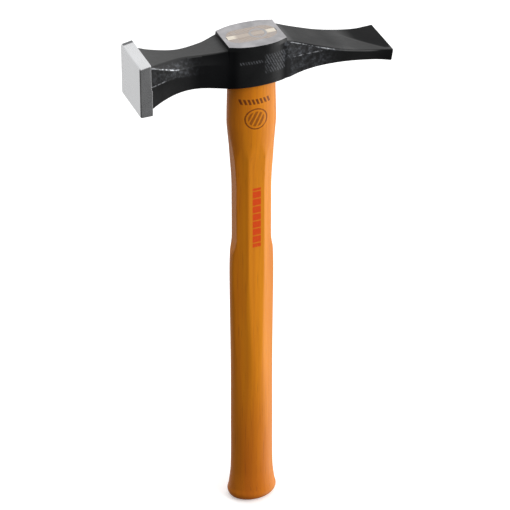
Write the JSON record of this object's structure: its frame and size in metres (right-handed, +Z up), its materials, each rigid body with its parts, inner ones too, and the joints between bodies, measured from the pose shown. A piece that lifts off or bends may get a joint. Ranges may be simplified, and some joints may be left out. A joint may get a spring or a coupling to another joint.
{
  "type": "cross-peen hammer",
  "caption": "Hickory-handled forged hammer with a square polished striking plate on one side and a broad flat cross peen on the other.",
  "frame": {"origin": "centre of the flat butt of the handle", "axes": "+Z up the handle to the head, -X towards the square striking plate, +X towards the peen, Y across the head"},
  "size_m": [0.159, 0.0326, 0.338],
  "materials": {
    "forged_steel": "satin black enamel over a forged surface, with the striking plate polished and the top of the boss ground bright",
    "hickory": "straight-grained hickory under an amber lacquer",
    "wedge_wood": "pale bare wood, ground flush with the head",
    "bright_steel": "bare steel, ground flush with the head"
  },
  "bodies": {
    "root": {"head": "forged_steel", "handle": "hickory", "wooden_wedge": "wedge_wood", "ring_wedge": "bright_steel"}
  },
  "joints": []
}
